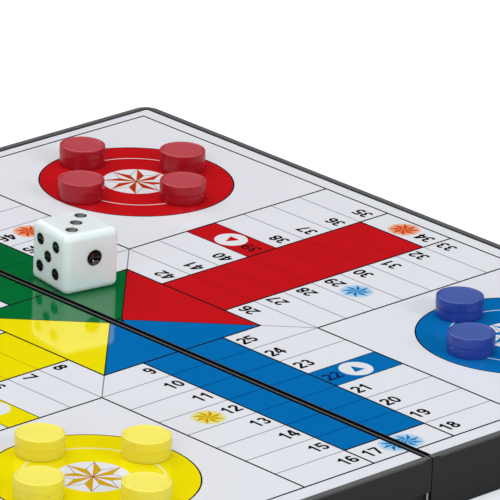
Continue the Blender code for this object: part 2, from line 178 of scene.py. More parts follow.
def moulded_abs(name, code, sheen_code):
    """Black moulded ABS with a spark-eroded finish: satin, near black on the walls, and a painted
    grey sheen on the flat rims and on the last half millimetre of the walls below them."""
    material, tree, shader = new_material(name)
    shader.inputs["IOR"].default_value = 1.53
    shader.inputs["Specular IOR Level"].default_value = 0.22
    coordinates = add_node(tree, "ShaderNodeTexCoord")
    normal = coordinates.outputs["Normal"]
    up = add_node(tree, "ShaderNodeSeparateXYZ", {"Vector": normal}).outputs["Z"]
    # Painted sheen: faces that look up take the paler grey, standing in for the light the rims
    # catch
    top_sheen = add_node(tree, "ShaderNodeMapRange", {"Value": up, "From Min": 0.6, "From Max": 0.95})
    place = coordinates.outputs["Object"]
    axes = add_node(tree, "ShaderNodeSeparateXYZ", {"Vector": place})
    # Painted sheen: the walls pale just below the rim, and not beside the seam, standing in for
    # reflected light
    from_seam = add_node(tree, "ShaderNodeMath", {0: axes.outputs["Y"]}, operation="ABSOLUTE")
    away_from_seam = add_node(
        tree, "ShaderNodeMapRange",
        {
            "Value": from_seam.outputs["Value"],
            "From Min": WALL_SHEEN_FROM_SEAM[0], "From Max": WALL_SHEEN_FROM_SEAM[1],
            "To Max": WALL_SHEEN_SHARE,
        },
    )
    wall_sheen = add_node(
        tree, "ShaderNodeMapRange",
        {
            "Value": axes.outputs["Z"],
            "From Min": WALL_SHEEN_HEIGHT[0], "From Max": WALL_SHEEN_HEIGHT[1],
            "To Max": away_from_seam.outputs["Result"],
        },
    )
    painted_sheen = add_node(
        tree, "ShaderNodeMath",
        {0: top_sheen.outputs["Result"], 1: wall_sheen.outputs["Result"]}, operation="MAXIMUM",
    )
    tint = add_node(
        tree, "ShaderNodeMix",
        {"Factor": painted_sheen.outputs["Value"], 6: linear(code), 7: linear(sheen_code)},
        data_type="RGBA",
    )
    tree.links.new(tint.outputs[2], shader.inputs["Base Color"])
    grain = add_node(
        tree, "ShaderNodeTexNoise",
        {"Vector": place, "Scale": 1 / (0.35 * MM), "Detail": 3.0},
    )
    rough = add_node(
        tree, "ShaderNodeMapRange",
        {"Value": grain.outputs["Fac"], "To Min": 0.42, "To Max": 0.56},
    )
    tree.links.new(rough.outputs["Result"], shader.inputs["Roughness"])
    bump = add_node(
        tree, "ShaderNodeBump",
        {"Height": grain.outputs["Fac"], "Strength": 0.4, "Distance": 0.02 * MM},
    )
    tree.links.new(bump.outputs["Normal"], shader.inputs["Normal"])
    return material


def moulded_token(name, shaded_side_code, sheen_top_code):
    """Moulded polystyrene: a fine matt texture on the flat top and a glossier side drawn from the
    mould, a painted sheen that pales the top and painted shade that deepens the side, and a little
    light let in, so that its edges are soft."""
    material, tree, shader = new_material(name)
    shader.inputs["Subsurface Weight"].default_value = 0.45
    shader.inputs["Subsurface Radius"].default_value = (1.0, 0.6, 0.6)
    shader.inputs["Subsurface Scale"].default_value = 1.4 * MM
    shader.inputs["IOR"].default_value = 1.42
    coordinates = add_node(tree, "ShaderNodeTexCoord")
    normal = coordinates.outputs["Normal"]
    up = add_node(tree, "ShaderNodeSeparateXYZ", {"Vector": normal}).outputs["Z"]
    # Painted sheen and shade: faces that look up take the paler top colour and the side the deeper
    # one
    flat = add_node(tree, "ShaderNodeMapRange", {"Value": up, "From Min": 0.3, "From Max": 0.9})
    tint = add_node(
        tree, "ShaderNodeMix",
        {"Factor": flat.outputs["Result"], 6: linear(shaded_side_code), 7: linear(sheen_top_code)},
        data_type="RGBA",
    )
    tree.links.new(tint.outputs[2], shader.inputs["Base Color"])
    rough = add_node(
        tree, "ShaderNodeMapRange",
        {"Value": up, "From Min": 0.94, "From Max": 0.995, "To Min": 0.34, "To Max": 0.62},
    )
    tree.links.new(rough.outputs["Result"], shader.inputs["Roughness"])
    place = coordinates.outputs["Object"]
    grain = add_node(
        tree, "ShaderNodeTexNoise",
        {"Vector": place, "Scale": 1 / (0.25 * MM), "Detail": 2.0},
    )
    bump = add_node(
        tree, "ShaderNodeBump",
        {"Height": grain.outputs["Fac"], "Strength": 0.3, "Distance": 0.01 * MM},
    )
    tree.links.new(bump.outputs["Normal"], shader.inputs["Normal"])
    return material


def milky_die(name, code):
    """Cast white acrylic, tumbled smooth: light goes a little way in, so that edges glow and
    shadows are soft."""
    material, tree, shader = new_material(name)
    shader.inputs["IOR"].default_value = 1.49
    shader.inputs["Roughness"].default_value = 0.22
    shader.inputs["Subsurface Weight"].default_value = 1.0
    shader.inputs["Subsurface Radius"].default_value = (0.8, 1.0, 1.15)
    shader.inputs["Subsurface Scale"].default_value = 1.3 * MM
    place = add_node(tree, "ShaderNodeTexCoord").outputs["Object"]
    cloud = add_node(
        tree, "ShaderNodeTexNoise",
        {"Vector": place, "Scale": 1 / (6 * MM), "Detail": 2.0},
    )
    colour = linear(code)
    dark = tuple(c * 0.985 for c in colour[:3]) + (1.0,)
    tint = add_node(
        tree, "ShaderNodeMix",
        {"Factor": cloud.outputs["Fac"], 6: dark, 7: colour}, data_type="RGBA",
    )
    tree.links.new(tint.outputs[2], shader.inputs["Base Color"])
    return material


def pip_paint(name, code):
    """Black enamel wiped into the pips: it dries glossy and a little uneven."""
    material, tree, shader = new_material(name)
    shader.inputs["Base Color"].default_value = linear(code)
    shader.inputs["IOR"].default_value = 1.62
    place = add_node(tree, "ShaderNodeTexCoord").outputs["Object"]
    ripple = add_node(
        tree, "ShaderNodeTexNoise",
        {"Vector": place, "Scale": 1 / (0.9 * MM), "Detail": 2.0},
    )
    rough = add_node(
        tree, "ShaderNodeMapRange",
        {"Value": ripple.outputs["Fac"], "To Min": 0.04, "To Max": 0.10},
    )
    tree.links.new(rough.outputs["Result"], shader.inputs["Roughness"])
    bump = add_node(
        tree, "ShaderNodeBump",
        {"Height": ripple.outputs["Fac"], "Strength": 0.2, "Distance": 0.03 * MM},
    )
    tree.links.new(bump.outputs["Normal"], shader.inputs["Normal"])
    return material


def rolled_steel(name, code, grain_mm):
    """Cold-rolled steel: metal grey with long fine roll marks."""
    material, tree, shader = new_material(name)
    shader.inputs["Base Color"].default_value = linear(code)
    shader.inputs["Metallic"].default_value = 1.0
    place = add_node(tree, "ShaderNodeTexCoord").outputs["Object"]
    stretch = add_node(tree, "ShaderNodeMapping", {"Vector": place, "Scale": (0.04, 1.0, 1.0)})
    marks = add_node(
        tree, "ShaderNodeTexNoise",
        {"Vector": stretch.outputs["Vector"], "Scale": 1 / (grain_mm * MM), "Detail": 4.0},
    )
    rough = add_node(
        tree, "ShaderNodeMapRange",
        {"Value": marks.outputs["Fac"], "To Min": 0.24, "To Max": 0.42},
    )
    tree.links.new(rough.outputs["Result"], shader.inputs["Roughness"])
    return material


def sintered_ferrite(name, code):
    """Sintered ferrite: dull charcoal grey with a fine ceramic grain."""
    material, tree, shader = new_material(name)
    shader.inputs["IOR"].default_value = 1.8
    shader.inputs["Roughness"].default_value = 0.55
    place = add_node(tree, "ShaderNodeTexCoord").outputs["Object"]
    grain = add_node(
        tree, "ShaderNodeTexNoise",
        {"Vector": place, "Scale": 1 / (0.3 * MM), "Detail": 3.0},
    )
    colour = linear(code)
    pale = tuple(c * 1.7 for c in colour[:3]) + (1.0,)
    tint = add_node(
        tree, "ShaderNodeMix",
        {"Factor": grain.outputs["Fac"], 6: colour, 7: pale}, data_type="RGBA",
    )
    tree.links.new(tint.outputs[2], shader.inputs["Base Color"])
    return material


INKS = {
    "white": "f1f0f5",
    "red": "cf141b",
    "blue": "0071b9",
    "green": "007034",
    "yellow": "fde900",
    "black": "16161a",
    "hairline": "8c8c92",
    "red_hairline": "ae1119",
    "blue_hairline": "004478",
    "green_hairline": "00562a",
    "yellow_hairline": "c8b400",
    "red_number": "5e1218",
    "blue_number": "0b2c66",
    "green_number": "06301c",
    "yellow_number": "2c2a16",
    "olive": "8c8468",
    "brick": "c8341c",
    "orange": "e87830",
    "sky": "5aa0d8",
    "ochre": "d8b010",
    "leaf": "2a8a48",
    "faint_orange_rose": "f6cdbb",
    "pale_orange_rose": "f8a782",
    "soft_orange_rose": "f28558",
    "deep_orange_rose": "d84014",
    "faint_blue_rose": "cfe2f3",
    "pale_blue_rose": "aed6f4",
    "soft_blue_rose": "84c6f6",
    "deep_blue_rose": "1a74b0",
    "faint_yellow_rose": "efeab4",
    "pale_yellow_rose": "f3e67c",
    "soft_yellow_rose": "f6de3c",
    "deep_yellow_rose": "cf9f08",
    "faint_green_rose": "c6e2c8",
    "pale_green_rose": "94cf9a",
    "soft_green_rose": "5fb56e",
    "deep_green_rose": "13763a",
}
INK = {name: gloss_ink(f"laminated_{name}_ink", code) for name, code in INKS.items()}
# The second grey is a painted sheen for the rims and the tops of the walls
CASE_ABS = moulded_abs("moulded_black_abs", "0e0e10", "565655")
# Each plastic is given as its side's colour, deepened by painted shade, and its top's, paled by a
# painted sheen
TOKEN_PLASTIC = {
    "red": moulded_token("moulded_red_polystyrene", "a90c1e", "b2303c"),
    "blue": moulded_token("moulded_blue_polystyrene", "29439b", "314d9b"),
    "yellow": moulded_token("moulded_yellow_polystyrene", "ecdc42", "fae85c"),
    "green": moulded_token("moulded_green_polystyrene", "0e783c", "33844e"),
}
WHITENED_PLASTIC = moulded_token("stress_whitened_polystyrene", "b0b0c0", "c4c4ce")
DIE_ACRYLIC = milky_die("cast_white_acrylic", "f0f9ff")
PIP_ENAMEL = pip_paint("black_pip_enamel", "0c0c0e")
SHEET_BOARD = printed_sheet("laminated_white_board", INKS["white"], "4c4c54")
SHEET_STEEL = rolled_steel("cold_rolled_sheet_steel", "c0c2c4", 0.4)
PIN_STEEL = rolled_steel("drawn_pin_steel", "c8c8ca", 0.1)
FERRITE = sintered_ferrite("sintered_ferrite", "3a3938")


# The print: flat outlines in cells, laid as thin slabs of ink on the sheet of each half

def turned(points, quarter):
    """Points of an arm's own frame, r outward and q to its left, turned by quarters of a turn."""
    angle = quarter * math.pi / 2
    c = round(math.cos(angle))
    s = round(math.sin(angle))
    r, q = np.asarray(points, dtype=float).T
    return np.stack([r * c - q * s, r * s + q * c], axis=1)


def field(r0, r1, q0, q1):
    """A rectangle between two distances outward and two distances to the left."""
    return np.array([(r0, q0), (r1, q0), (r1, q1), (r0, q1)], dtype=float)


def disc(r, q, radius, steps=48):
    """A circle as a regular outline: centre plus radius times cosine and sine."""
    angle = np.arange(steps) * 2 * math.pi / steps
    return np.stack([r + radius * np.cos(angle), q + radius * np.sin(angle)], axis=1)


def rule(r0, q0, r1, q1, width):
    """A straight line of some width between two points, half a width longer at both ends."""
    start = np.array((r0, q0), dtype=float)
    end = np.array((r1, q1), dtype=float)
    along = (end - start) / np.linalg.norm(end - start) * width / 2
    across = np.array((-along[1], along[0]))
    return np.array([
        start - along - across, end + along - across,
        end + along + across, start - along + across,
    ])


ROSE_RAYS = 8


def rose_points(r, q, radius, turn):
    """Points round a wind rose, one for each ray: centre plus radius times cosine and sine, turned
    by so many rays."""
    angle = (np.arange(ROSE_RAYS) + turn) * 2 * math.pi / ROSE_RAYS
    return np.array((r, q)) + radius * np.stack([np.cos(angle), np.sin(angle)], axis=1)


def rose_halves(r, q, tip, waist):
    """One half of each ray: a triangle from the centre to the tip and to the waist to its right."""
    tips = rose_points(r, q, tip, 0)
    waists = rose_points(r, q, waist, -0.5)
    return [np.array([(r, q), tips[i], waists[i]]) for i in range(ROSE_RAYS)]


def clipped(outline, edge, side):
    """The part of a convex outline on one side of a line at y = edge, with a point added where a
    side crosses it."""
    inside = side * (outline[:, 1] - edge) >= 0
    after = np.roll(outline, -1, axis=0)
    crosses = inside != np.roll(inside, -1)
    rise = after[:, 1] - outline[:, 1]
    share = np.where(crosses, (edge - outline[:, 1]) / np.where(crosses, rise, 1.0), 0.0)
    crossing = outline + share[:, None] * (after - outline)
    both = np.stack([outline, crossing], axis=1).reshape(-1, 2)
    return both[np.stack([inside, crosses], axis=1).reshape(-1)]


def prism(outline, low, high):
    """An upright slab over a flat outline: the outline at the foot and at the head, with walls."""
    ahead = np.roll(outline, -1, axis=0)
    area = np.sum(outline[:, 0] * ahead[:, 1] - ahead[:, 0] * outline[:, 1])
    if area < 0:
        outline = outline[::-1]
    count = len(outline)
    foot = np.column_stack([outline, np.full(count, low)])
    head = np.column_stack([outline, np.full(count, high)])
    faces = [list(range(count - 1, -1, -1)), list(range(count, 2 * count))]
    faces += [[i, (i + 1) % count, count + (i + 1) % count, count + i] for i in range(count)]
    return np.concatenate([foot, head]), faces


def hoop(centre, inner, outer, low, high, steps=96):
    """A flat ring with walls: four circles, foot and head of both walls, joined in turn."""
    angle = np.arange(steps) * 2 * math.pi / steps
    circle = np.stack([np.cos(angle), np.sin(angle)], axis=1)
    rings = [(outer, low), (outer, high), (inner, high), (inner, low)]
    points = np.concatenate([
        np.column_stack([np.asarray(centre) + circle * radius, np.full(steps, level)])
        for radius, level in rings
    ])
    faces = []
    here = np.arange(steps)
    there = (here + 1) % steps
    for ring in range(4):
        base = ring * steps
        over = (ring + 1) % 4 * steps
        quads = np.stack([base + here, base + there, over + there, over + here], axis=1)
        faces += quads.tolist()
    return points, faces


def join_shapes(shapes):
    """Several sets of points and faces as one, with the faces counted on."""
    points = []
    faces = []
    count = 0
    for shape_points, shape_faces in shapes:
        points.append(shape_points)
        faces += [[count + i for i in face] for face in shape_faces]
        count += len(shape_points)
    return np.concatenate(points), faces


SHEETS = {half: {name: [] for name in INKS} for half in ("far", "near")}


def on_sheet(points, half):
    """Places given in cells as places on one half's sheet, in metres."""
    return np.asarray(points) * CELL + np.array(HALF_ORIGIN[half])


def head_of(level):
    """How high the top of an ink lies: a later ink lies over an earlier one."""
    return PRINT_TOP + level * INK_STEP


# Where the ink ends at the seam: flush with the far sheet, and past the near one, whose film runs
# on over it
FILM_OVERRUN = 0.25 * MM
INK_EDGE = {"far": SEAM_EDGE, "near": -SEAM_EDGE + FILM_OVERRUN}


def lay(ink, level, outlines, halves=("far", "near")):
    """Lays outlines of one ink on the sheets, cut off at the seam edge of each."""
    for half in halves:
        edge = INK_EDGE[half]
        for outline in outlines:
            part = clipped(on_sheet(outline, half), edge, math.copysign(1, edge))
            if len(part) > 2:
                SHEETS[half][ink].append(prism(part, INK_FOOT, head_of(level)))


def lay_hoop(ink, level, centre, inner, outer):
    """Lays a ring that lies wholly on one sheet."""
    half = "far" if centre[1] > 0 else "near"
    middle = on_sheet([centre], half)[0]
    SHEETS[half][ink].append(hoop(middle, inner * CELL, outer * CELL, INK_FOOT, head_of(level)))


def arc(x, y, across, high, start, end, steps=14):
    """Points on an ellipse between two angles in degrees."""
    angle = np.radians(np.linspace(start, end, steps))
    return np.stack([x + across * np.cos(angle), y + high * np.sin(angle)], axis=1)


STROKE_WIDTH = 0.175


def stroke(path, closed):
    """A band along a path, half a width to each side of it: at each point both sides are moved out
    along the mean of the normals before and after, lengthened so that the band keeps its width, to
    at most double."""
    path = np.asarray(path, dtype=float)
    ahead = np.roll(path, -1, axis=0) - path
    if not closed:
        ahead[-1] = ahead[-2]
    ahead /= np.linalg.norm(ahead, axis=1, keepdims=True)
    behind = np.roll(ahead, 1, axis=0)
    if not closed:
        behind[0] = ahead[0]
    mean = ahead + behind
    mean /= np.linalg.norm(mean, axis=1, keepdims=True)
    reach = STROKE_WIDTH / 2 / np.maximum(np.sum(mean * ahead, axis=1), 0.5)
    across = np.stack([-mean[:, 1], mean[:, 0]], axis=1) * reach[:, None]
    count = len(path)
    flat = np.concatenate([path + across, path - across])
    points = np.concatenate([np.column_stack([flat, np.full(2 * count, z)]) for z in (-0.5, 0.5)])
    here = np.arange(count if closed else count - 1)
    there = (here + 1) % count
    right = here + count
    lid = 2 * count
    flat_faces = np.stack([here, right, there + count, there], axis=1)
    faces = np.concatenate([
        flat_faces[:, ::-1],
        flat_faces + lid,
        np.stack([here, there, there + lid, here + lid], axis=1),
        np.stack([there + count, right, right + lid, there + count + lid], axis=1),
    ]).tolist()
    if not closed:
        last = count - 1
        faces.append([count, 0, lid, lid + count])
        faces.append([last, last + count, last + count + lid, last + lid])
    return points, faces


def digit_strokes():
    """The centre lines of a plain bold sans, in a box one unit high and 0.6 wide. Each comes with
    whether it closes on itself."""
    bar = [(-0.29, 0.1), (0.29, 0.1)]
    bowl = (arc(0, 0.31, 0.2, 0.21, 0, 345, 24), True)
    tail = np.concatenate([arc(0.0, 0.56, 0.2, 0.34, 38, 180), [(-0.2, 0.32)]])
    return {
        "0": [(arc(0, 0.5, 0.2, 0.4, 0, 345, 24), True)],
        "1": [([(0.06, 1.0), (0.06, 0.0)], False), ([(0.10, 0.90), (-0.20, 0.70)], False)],
        "2": [
            (np.concatenate([arc(0, 0.69, 0.2, 0.21, 172, -28), [(-0.18, 0.16)]]), False),
            (bar, False),
        ],
        "3": [
            (arc(0, 0.71, 0.18, 0.19, 160, -90), False),
            (arc(0, 0.31, 0.2, 0.21, 90, -160), False),
        ],
        "4": [
            ([(0.11, 1.0), (0.11, 0.0)], False), ([(0.05, 0.94), (-0.24, 0.36)], False),
            ([(-0.3, 0.31), (0.29, 0.31)], False),
        ],
        "5": [
            ([(0.26, 0.9), (-0.2, 0.9)], False), ([(-0.17, 0.98), (-0.21, 0.45)], False),
            (arc(0, 0.33, 0.2, 0.23, 135, -160), False),
        ],
        "6": [bowl, (tail, False)],
        "7": [([(-0.29, 0.9), (0.29, 0.9)], False), ([(0.22, 0.88), (-0.06, 0.0)], False)],
        "8": [
            (arc(0, 0.72, 0.17, 0.18, 0, 345, 24), True),
            (arc(0, 0.3, 0.2, 0.2, 0, 345, 24), True),
        ],
        "9": [(arc(0, 0.69, 0.2, 0.21, 0, 345, 24), True), ((0, 1) - tail, False)],
    }


def digit_shapes():
    """Every digit as the slabs of its strokes."""
    return {
        digit: join_shapes([stroke(path, closed) for path, closed in strokes])
        for digit, strokes in digit_strokes().items()
    }


DIGITS = digit_shapes()
NUMBER_LEVEL = 5
DIGIT_HEIGHT = 0.40
DIGIT_WIDE = 1.06
DIGIT_PITCH = 0.268


def lay_number(number, r, q_start, quarter, ink="black"):
    """A number that reads to the left of its arm, with the tops of its digits toward the middle."""
    for place, digit in enumerate(str(number)):
        points, faces = DIGITS[digit]
        q = q_start + (place + 0.5) * DIGIT_PITCH + points[:, 0] * DIGIT_HEIGHT * DIGIT_WIDE
        outward = r + DIGIT_HEIGHT / 2 - points[:, 1] * DIGIT_HEIGHT
        flat = turned(np.stack([outward, q], axis=1), quarter)
        half = "far" if flat[:, 1].mean() > 0 else "near"
        flat += NUMBER_SHIFT[half]
        level = np.where(points[:, 2] > 0, head_of(NUMBER_LEVEL), INK_FOOT)
        SHEETS[half][ink].append((np.column_stack([on_sheet(flat, half), level]), faces))


# A small wind rose, in shares of its radius: its discs, each laid over the one before, and its rays
ROSETTE_DISCS = (("faint", 1.0), ("pale", 0.84), ("soft", 0.58))
ROSETTE_TIP = 0.98
ROSETTE_WAIST = 0.52


def lay_rosette(colour, r, q, radius, quarter):
    """A small wind rose on a disc that pales toward its edge in three steps."""
    for step, (shade, share) in enumerate(ROSETTE_DISCS):
        lay(f"{shade}_{colour}", 2 + step * 0.5, [turned(disc(r, q, radius * share), quarter)])
    rays = rose_halves(r, q, radius * ROSETTE_TIP, radius * ROSETTE_WAIST)
    lay(f"deep_{colour}", 4, [turned(ray, quarter) for ray in rays])


# Along an arm, in cells: its start cell has a disc with an arrow on one side, and a rose on the
# other. The track has 17 cells from one arm to the next. The path laps a hair into the middle.
ARM_CELLS = 8
TRACK_STEP = 17
TRACK = 4 * TRACK_STEP
START_CELL = 3
START_DISC = 2.30
START_ARROW = np.array([(-0.20, 0.0), (0.15, -0.17), (0.15, 0.17)])
ROSETTE_PLACE = -2.27
END_ROSETTE_PLACE = 0.05
MARK_RADIUS = 0.43
NUMBER_PLACE = 1.26
END_NUMBER_PLACE = -0.73
LAP = 0.01


def lay_arm(quarter, colour, first, end_rosette, side_rosette):
    """One arm of the cross: the coloured path, both columns of cells and what is in them."""
    def spin(outlines):
        """Outlines turned to lie on this arm."""
        return [turned(outline, quarter) for outline in outlines]

    lay(colour, 1, spin([field(RING - LAP, PATH_END, -PATH_HALF, PATH_HALF)]))
    sheets = ("near",) if colour == "yellow" else ("far", "near")
    lay(colour, 1, spin([np.array([(0, 0), (RING, -RING), (RING, RING)])]), sheets)
    start = RING + START_CELL
    lay(colour, 1, spin([field(start, start + 1, PATH_HALF, COLUMN)]))
    steps = RING + np.arange(1, ARM_CELLS)
    across_path = [rule(r, -PATH_HALF, r, PATH_HALF, HAIR) for r in steps[:-1]]
    lay(f"{colour}_hairline", 2, spin(across_path))
    for side in (-1, 1):
        across_column = [rule(r, side * PATH_HALF, r, side * COLUMN, HAIR) for r in steps]
        lay("hairline", 2, spin(across_column))
    lines = [rule(RING, q, FRAME_LINE, q, LINE) for q in (-PATH_HALF, PATH_HALF)]
    lines += [rule(COLUMN, q, FRAME_LINE, q, LINE) for q in (-COLUMN, COLUMN)]
    lines += [rule(FRAME_LINE, -FRAME_LINE, FRAME_LINE, FRAME_LINE, LINE)]
    lines += [rule(PATH_END, -PATH_HALF, PATH_END, PATH_HALF, LINE)]
    lines += [rule(RING, -RING, RING, RING, LINE)]
    lines += [rule(0, 0, RING, RING, HAIR)]
    lines += [rule(r, PATH_HALF, r, COLUMN, HAIR) for r in (start, start + 1)]
    lay("black", 3, spin(lines))
    lay("hairline", 2, spin([rule(RING, RING, COLUMN, COLUMN, HAIR)]))

    middle = start + 0.5
    lay("white", 3, spin([disc(middle, START_DISC, MARK_RADIUS)]))
    lay(colour, 4, spin([START_ARROW + (middle, START_DISC)]))
    lay_rosette(side_rosette, middle, ROSETTE_PLACE, MARK_RADIUS, quarter)
    lay_rosette(end_rosette, PATH_END + 0.5, END_ROSETTE_PLACE, MARK_RADIUS, quarter)

    # The track comes back down the arm's other column three arms on
    other = first + 3 * TRACK_STEP
    for cell in range(ARM_CELLS):
        r = RING + 0.5 + cell
        ink = f"{colour}_number" if cell == START_CELL else "black"
        lay_number(first - cell, r, NUMBER_PLACE, quarter, ink)
        across = (other + cell) % TRACK + 1
        lay_number(across, r, -NUMBER_PLACE - DIGIT_PITCH * len(str(across)), quarter)
    end = (other + ARM_CELLS) % TRACK + 1
    lay_number(end, PATH_END + 0.5, END_NUMBER_PLACE - DIGIT_PITCH, quarter)


# A home, in cells from its own centre
HOME_OUTLINE = 2.56
HOME_DISC = 2.52
HOME_RING = (1.704, 1.74)
HOME_MIDDLE = 0.90
ROSE_TIP = 0.88
ROSE_WAIST = 0.48
RAY_LINE = 0.022
SIDE_LINE = 0.018
WAIST_LINE = 0.014


def lay_home(colour, halves, edging, centre):
    """A coloured disc in a black outline, a thin white ring and a wind rose on a white disc."""
    lay("black", 1, [disc(*centre, HOME_OUTLINE, steps=128)])
    lay(colour, 2, [disc(*centre, HOME_DISC, steps=128)])
    lay_hoop("white", 3, centre, *HOME_RING)
    lay("white", 3, [disc(*centre, HOME_MIDDLE, steps=72)])
    lay(halves, 4, rose_halves(*centre, ROSE_TIP, ROSE_WAIST))
    tips = rose_points(*centre, ROSE_TIP, 0)
    waists = rose_points(*centre, ROSE_WAIST, 0.5)
    lay(edging, 5, [rule(*centre, *tip, RAY_LINE) for tip in tips])
    lay("olive", 5, [rule(*tip, *waist, SIDE_LINE) for tip, waist in zip(tips, waists)])
    lay("olive", 5, [rule(*centre, *waist, WAIST_LINE) for waist in waists])


def lay_film_edge():
    """The strip of white film along the seam that runs on past the near sheet."""
    low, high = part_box("near_printed_sheet")
    strip = field(low[0], high[0], high[1], INK_EDGE["near"])
    SHEETS["near"]["white"].append(prism(strip, INK_FOOT, PRINT_TOP))


lay_film_edge()
lay_arm(3, "yellow", 8, "yellow_rose", "green_rose")
lay_arm(0, "blue", 25, "blue_rose", "yellow_rose")
lay_arm(1, "red", 42, "orange_rose", "blue_rose")
lay_arm(2, "green", 59, "green_rose", "orange_rose")
# The far sheet reaches a little past the middle of the print: green and blue meet there, and yellow
# is on the near sheet alone
PAST_MIDDLE = 0.13
lay("green", 1, [field(-PAST_MIDDLE, 0, -PAST_MIDDLE, 0)], ("far",))
lay("blue", 1, [field(0, PAST_MIDDLE, -PAST_MIDDLE, 0)], ("far",))
lay_home("red", "brick", "orange", (-6.89, 6.89))
lay_home("blue", "blue", "sky", (6.905, 6.965))
lay_home("yellow", "ochre", "orange", (6.87, -6.87))
lay_home("green", "leaf", "sky", (-6.89, -6.89))

for half, inks in SHEETS.items():
    for ink, shapes in inks.items():
        if shapes:
            mesh = build_mesh(f"{half}_{ink}_print", *join_shapes(shapes))
            add_piece(f"{half}_{ink}_print", mesh, INK[ink], f"{half}_half")


# The case, its sheets, pins and magnets

def box_mesh(low, high):
    """A plain closed block between two corners, used only to cut with."""
    corners = np.array([(x, y, z) for x in (0, 1) for y in (0, 1) for z in (0, 1)], dtype=float)
    points = np.array(low) + corners * (np.array(high) - np.array(low))
    faces = [(0, 1, 3, 2), (4, 6, 7, 5), (0, 4, 5, 1), (2, 3, 7, 6), (0, 2, 6, 4), (1, 5, 7, 3)]
    return build_mesh("cutter", points, faces)


REBATE_REACH = 112 * MM
REBATE_FLOOR = 13.8 * MM
ABOVE_CASE = 16.0 * MM


def cut_rebate(piece, low, high):
    """Cuts a long step out of a rim, between two places along y, down to below the print."""
    mesh = box_mesh((-REBATE_REACH, low, REBATE_FLOOR), (REBATE_REACH, high, ABOVE_CASE))
    cutter = bpy.data.objects.new("cutter", mesh)
    bpy.context.scene.collection.objects.link(cutter)
    cut = piece.modifiers.new("rebate", "BOOLEAN")
    cut.operation = "DIFFERENCE"
    cut.solver = "EXACT"
    cut.object = cutter
    cut_piece = piece.evaluated_get(bpy.context.evaluated_depsgraph_get())
    finished = bpy.data.meshes.new_from_object(cut_piece)
    piece.modifiers.remove(cut)
    piece.data = finished
    bpy.data.objects.remove(cutter)


# The step in each seam rim: the far rim is cut down on its seam side, the near rim is thinned
# beside its sheet
SEAM_STEP = {"far": (-1.0 * MM, 1.0 * MM), "near": (-1.4 * MM, -0.88 * MM)}


def finer_case(half):
    """A copy of a moulded half, welded, with its sharp edges rounded as a mould leaves them."""
    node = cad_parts[f"{half}_case_half"]
    bm = bmesh.new()
    bm.from_mesh(node.data)
    bmesh.ops.remove_doubles(bm, verts=bm.verts, dist=0.002 * MM)
    bmesh.ops.dissolve_limit(bm, angle_limit=math.radians(0.4), verts=bm.verts, edges=bm.edges)
    bmesh.ops.recalc_face_normals(bm, faces=bm.faces)
    mesh = bpy.data.meshes.new(f"{half}_moulded_case")
    bm.to_mesh(mesh)
    bm.free()
    piece = add_piece(f"{half}_moulded_case", mesh, CASE_ABS, f"{half}_half")
    cut_rebate(piece, *SEAM_STEP[half])
    rounding = piece.modifiers.new("mould_rounding", "BEVEL")
    rounding.width = 0.12 * MM
    rounding.segments = 2
    rounding.limit_method = "ANGLE"
    rounding.angle_limit = math.radians(35)
    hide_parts(node.name)


for half in SHEETS:
    finer_case(half)

# The solids that are shown as they are, by the end of their names
PLAIN_FINISH = {
    "_steel_sheet": SHEET_STEEL,
    "_printed_sheet": SHEET_BOARD,
    "_pin": PIN_STEEL,
    "_magnet": FERRITE,
}
for node_name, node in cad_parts.items():
    for ending, material in PLAIN_FINISH.items():
        if node_name.endswith(ending):
            node.data.materials.clear()
            node.data.materials.append(material)


# Tokens

def token_profile():
    """Radius and height in millimetres, from the top centre down and in to the pocket: dish, crown,
    rounded edge, two drafts that meet at the parting line, foot and pocket."""
    dish = [
        (0.0, 5.28), (2.6, 5.28), (5.05, 5.285), (5.27, 5.31),
        (5.38, 5.37), (5.46, 5.44), (5.54, 5.48), (5.62, 5.493),
    ]
    crown = [(5.72, 5.484), (5.82, 5.45)]
    edge_angle = np.radians(np.linspace(74, 0, 6))
    edge = [(5.88 + 0.30 * math.cos(a), 5.11 + 0.30 * math.sin(a)) for a in edge_angle]
    side = [
        (6.20, 4.2), (6.23, 3.00), (6.225, 2.94), (6.17, 2.88),
        (6.14, 2.82), (6.14, 2.0), (6.12, 1.0),
    ]
    foot_angle = np.linspace(0, -math.pi / 2, 5)
    foot = [(5.84 + 0.27 * math.cos(a), 0.27 + 0.27 * math.sin(a)) for a in foot_angle]
    pocket = [(4.55, 0.0), (4.36, 0.06), (4.30, 0.2), (4.30, 2.25), (0.0, 2.25)]
    return np.array(dish + crown + edge + side + foot + pocket) * MM


def band_faces(rings, steps):
    """Faces between rings of points: each point, the one below it, and the next of both."""
    first = np.arange(rings - 1)[:, None] * steps
    here = first + np.arange(steps)
    there = first + (np.arange(steps) + 1) % steps
    return np.stack([here, here + steps, there + steps, there], axis=2).reshape(-1, 4)


def lathe(profile, centre, base, steps=72):
    """A profile carried round an upright axis: x and y are radius times cosine and sine, and the
    poles are single points."""
    ring_profile = profile[1:-1]
    angle = np.arange(steps) * 2 * math.pi / steps
    x = centre[0] + ring_profile[:, 0][:, None] * np.cos(angle)
    y = centre[1] + ring_profile[:, 0][:, None] * np.sin(angle)
    z = np.broadcast_to(base + ring_profile[:, 1][:, None], x.shape)
    points = np.stack([x, y, z], axis=2).reshape(-1, 3)
    top = len(points)
    poles = [(*centre, base + profile[end, 1]) for end in (0, -1)]
    points = np.concatenate([points, poles])
    here = np.arange(steps)
    there = (here + 1) % steps
    last = (len(ring_profile) - 1) * steps
    fans = np.stack([np.full(steps, top), here, there], axis=1).tolist()
    fans += np.stack([np.full(steps, top + 1), last + there, last + here], axis=1).tolist()
    return points, band_faces(len(ring_profile), steps).tolist() + fans


GATE_HEIGHT = 2.2 * MM
GATE_REACH = 6.14 * MM


